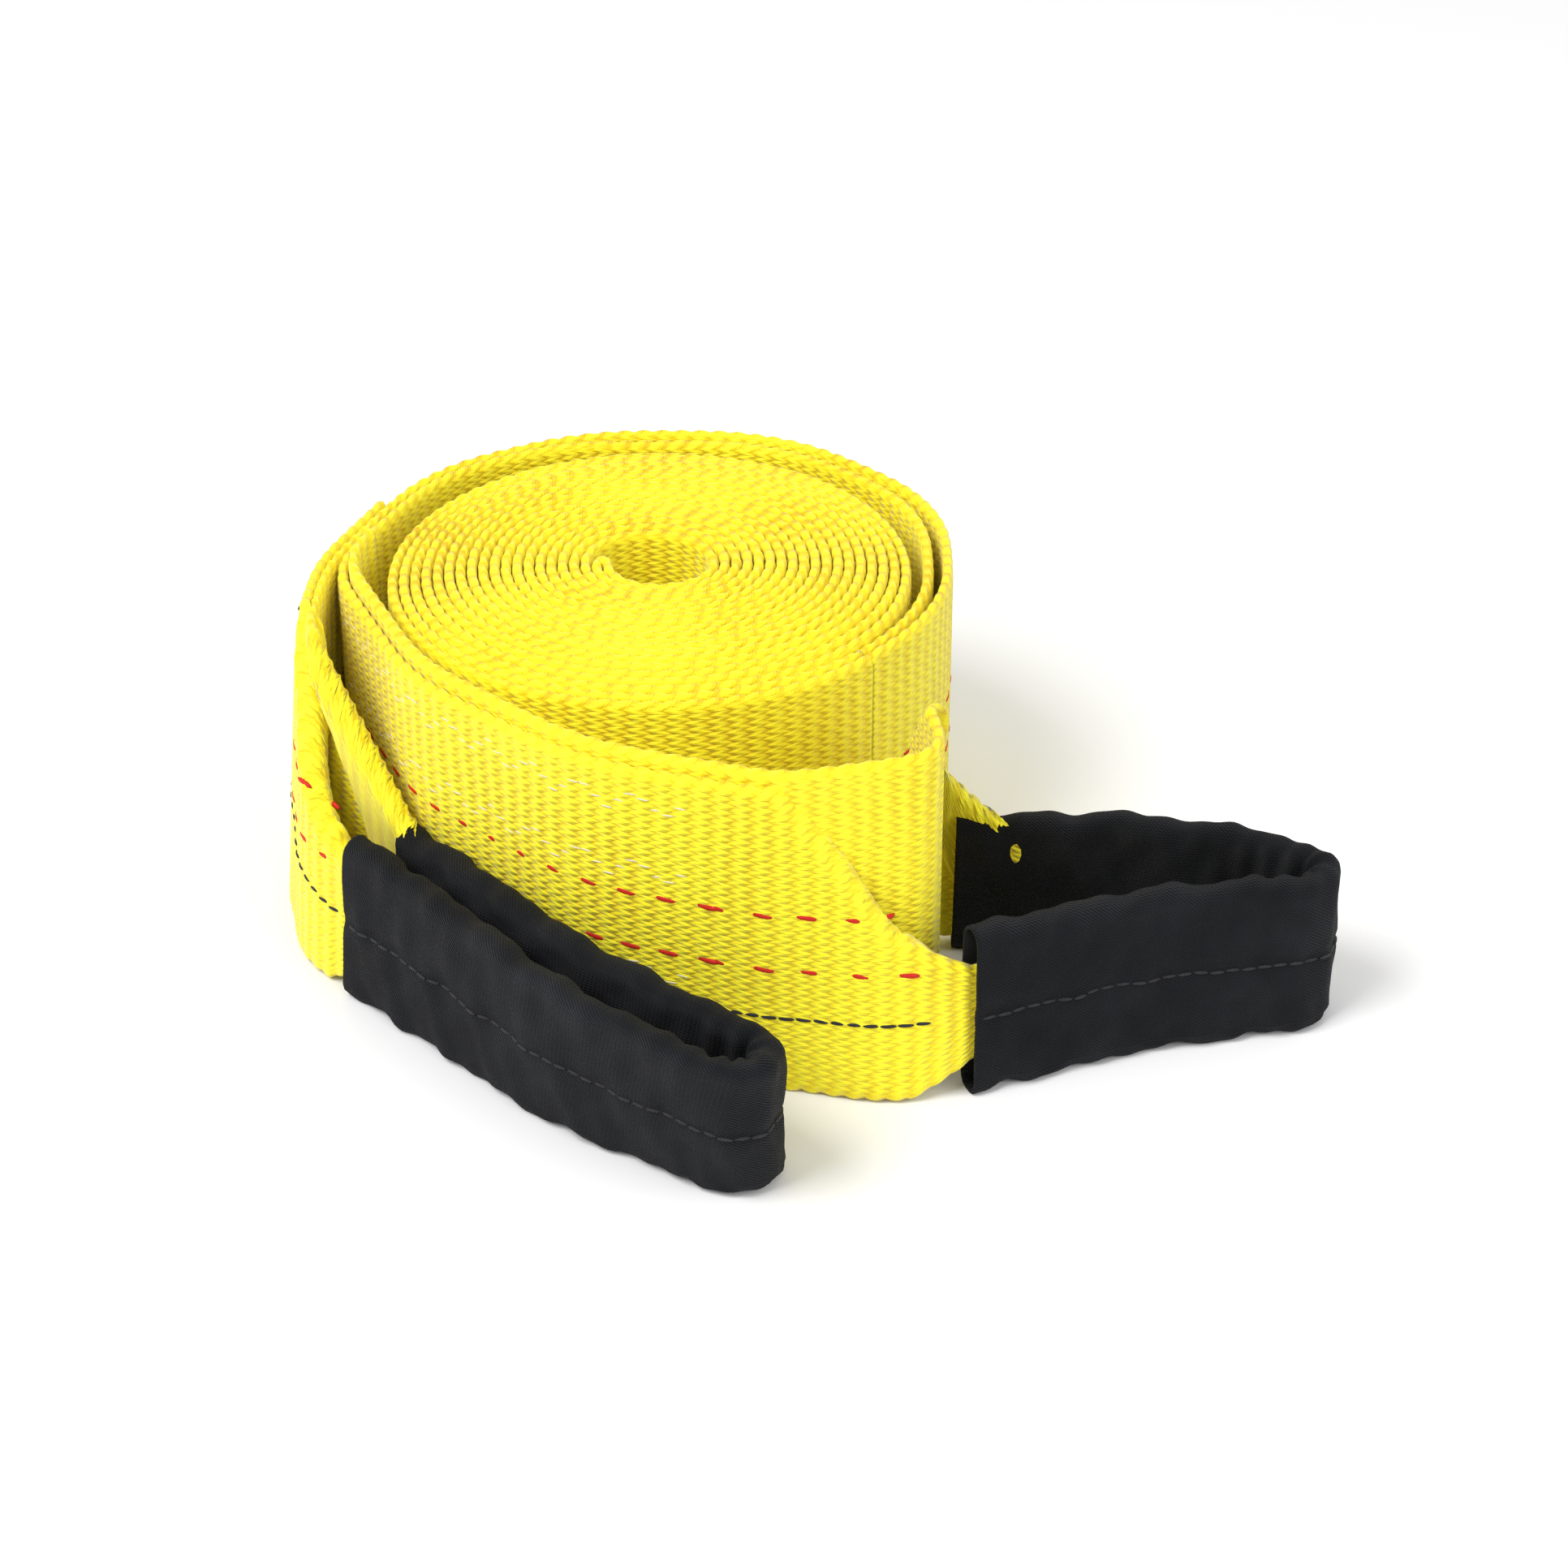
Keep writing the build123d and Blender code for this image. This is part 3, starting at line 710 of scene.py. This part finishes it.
def sewn_rows(name, rows, bend, node, slot_name, thread, pitch, length, width, depth=None, tilt=0.0):
    """Rows of stitches, each row a list of places in space, made into one mesh."""
    points = np.concatenate(rows)
    firsts = np.cumsum([0] + [len(row) for row in rows])
    edges = [(i, i + 1) for a, b in zip(firsts, firsts[1:]) for i in range(a, b - 1)]
    mesh = bpy.data.meshes.new(name + "_line")
    mesh.from_pydata(points.tolist(), edges, [])
    guide = bpy.data.objects.new(name + "_line", mesh)
    bpy.context.scene.collection.objects.link(guide)
    modifier = guide.modifiers.new("stitches", "NODES")
    modifier.node_group = stitches
    values = {
        "Pitch": pitch, "Stitch Length": length, "Stitch Width": width,
        "Stitch Depth": depth or width, "Tilt": radians(tilt), "Thread": thread,
    }
    for item in stitches.interface.items_tree:
        if item.in_out == "INPUT" and item.name in values:
            modifier[item.identifier] = values[item.name]
    ready = guide.evaluated_get(bpy.context.evaluated_depsgraph_get())
    finished = bpy.data.meshes.new_from_object(ready)
    finished.shade_smooth()
    bpy.data.objects.remove(guide)
    made = bpy.data.objects.new(name, finished)
    bpy.context.scene.collection.objects.link(made)
    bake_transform(made)
    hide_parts(node)
    return made


def row_on(rings, first, last, share, face="right", sunk=0.0):
    """Places on one face of a strap between two stations, at a share of its width."""
    half = rings.shape[1] // 2
    front, back = rings[first:last, :half], rings[first:last, half:][:, ::-1]
    near, far = (back, front) if face == "right" else (front, back)
    columns = across_places(half - 8)
    share = np.broadcast_to(share, (len(near),))
    low = np.clip(np.searchsorted(columns, share) - 1, 0, half - 2)
    part = ((share - columns[low]) / (columns[low + 1] - columns[low]))[:, None]
    station = np.arange(len(near))
    outer = near[station, low] * (1 - part) + near[station, low + 1] * part
    inner = far[station, low] * (1 - part) + far[station, low + 1] * part
    away = (outer - inner) / np.linalg.norm(outer - inner, axis=1)[:, None]
    return outer - away * sunk


TRACER_SHARES = (0.41, 0.59)
SPLICE_SHARES = (0.12, 0.36, 0.64, 0.88)
left_hinge_at, left_mouth_at = left_start, left_start + left_mouths[0]
right_hinge_at, right_mouth_at = right_start, right_start + right_mouths[0]
right_sewn_at = right_hinge_at - int(140 * MM / STEP)

for side_name, rings, start, mouth_at, seam, bend in (
    ("left", left_rings, left_hinge_at - 6, left_mouth_at, left_seam, left_bend),
    ("right", right_rings, right_hinge_at + 4, right_mouth_at, right_seam, right_bend),
):
    share = np.interp(np.arange(start, mouth_at + 2), [start, mouth_at], [0.42 if side_name == "left" else 0.25, 0.25])
    on_leg = row_on(rings, start, mouth_at + 2, share, sunk=0.1 * MM)
    sewn_rows(
        f"{side_name}_sleeve_seam", [on_leg, seam[3:-3]], bend, f"{side_name}_seam_thread",
        "dark_thread", black_thread, 3.6 * MM, 3.7 * MM, 0.9 * MM,
    )

tracer = ("tracer_yarn", red_yarn, 8.7 * MM, 5.2 * MM, 1.5 * MM, 1.0 * MM, 5)
turn_rows = [
    row_on(left_rings, left_hinge_at + len(left_line) + 60, len(left_rings) - 5, share, "left", 0.3 * MM)
    for share in TRACER_SHARES
]
splice_rows = [row_on(left_rings, 4, left_hinge_at - 1, share, sunk=0.3 * MM) for share in TRACER_SHARES]
sewn_rows("left_tracer_floats", turn_rows + splice_rows, left_bend, "roll_tracers", *tracer)
front_rows = [
    row_on(right_rings, right_sewn_at, right_hinge_at - 1, share, sunk=0.3 * MM) for share in TRACER_SHARES
]
sewn_rows("right_tracer_floats", front_rows, right_bend, "roll_tracers", *tracer)
for side_name, rings, start, mouth_at, bend in (
    ("left", left_rings, left_hinge_at, left_mouth_at, left_bend),
    ("right", right_rings, right_hinge_at, right_mouth_at, right_bend),
):
    leg_rows = [row_on(rings, start, mouth_at - 1, share, sunk=0.3 * MM) for share in TRACER_SHARES]
    sewn_rows(f"{side_name}_eye_tracer_floats", leg_rows, bend, f"{side_name}_eye_tracers", *tracer)

left_sewn = [row_on(left_rings, 4, left_hinge_at - 2, share, sunk=0.05 * MM) for share in (0.93, 0.97)]
sewn_rows(
    "left_splice_stitches", left_sewn, left_bend, "left_splice_thread", "dark_thread", black_thread,
    5.2 * MM, 2.6 * MM, 0.6 * MM,
)
stations = np.arange(right_sewn_at + 3, right_hinge_at - 6)
zigzag = []
for low, high in ((0.06, 0.13), (0.30, 0.37), (0.64, 0.71), (0.86, 0.93)):
    swing = np.abs((stations * STEP / (13 * MM)) % 1 * 2 - 1) * (high - low) + low
    zigzag.append(row_on(right_rings, stations[0], stations[-1] + 1, swing, sunk=0.05 * MM))
sewn_rows(
    "right_splice_stitches", zigzag, right_bend, "right_splice_thread", "clear_thread", clear_thread,
    3.4 * MM, 3.0 * MM, 0.42 * MM,
)

# ---- Floor, light and camera --------------------------------------------------------------
# A white sweep under soft studio light. The camera looks down on the front of the roll.
def plain_white():
    material, nodes, links, shader = new_material("white_sweep", 0.9)
    shader.inputs["Base Color"].default_value = (0.86, 0.86, 0.86, 1)
    shader.inputs["Specular IOR Level"].default_value = 0.0
    return material


floor_mesh = bpy.data.meshes.new("floor")
reach = 6.0
floor_mesh.from_pydata(
    [(-reach, -reach, 0), (reach, -reach, 0), (reach, reach, 0), (-reach, reach, 0)], [], [(0, 1, 2, 3)]
)
floor = bpy.data.objects.new("floor", floor_mesh)
bpy.context.scene.collection.objects.link(floor)
floor_mesh.materials.append(plain_white())

world = bpy.data.worlds.new("studio")
world.use_nodes = True
world.node_tree.nodes["Background"].inputs[0].default_value = (1, 1, 1, 1)
world.node_tree.nodes["Background"].inputs[1].default_value = 0.75
bpy.context.scene.world = world


def soft_light(name, place, size, power):
    lamp = bpy.data.lights.new(name, "AREA")
    lamp.size = size
    lamp.energy = power
    made = bpy.data.objects.new(name, lamp)
    made.location = place
    made.rotation_euler = (-Vector(place)).to_track_quat("-Z", "Y").to_euler()
    bpy.context.scene.collection.objects.link(made)


soft_light("key", (-0.9, -0.7, 1.5), 0.9, 26)
soft_light("fill", (1.3, -0.9, 1.0), 1.2, 10)

lens = bpy.data.cameras.new("camera")
lens.lens = 83.85
lens.sensor_width = 36
camera = bpy.data.objects.new("camera", lens)
camera.location = (-0.0045, -0.71265, 0.4686)
camera.rotation_euler = (radians(90 - 31.2), 0, 0)
bpy.context.scene.collection.objects.link(camera)
bpy.context.scene.camera = camera
bpy.context.scene.view_settings.view_transform = "Standard"
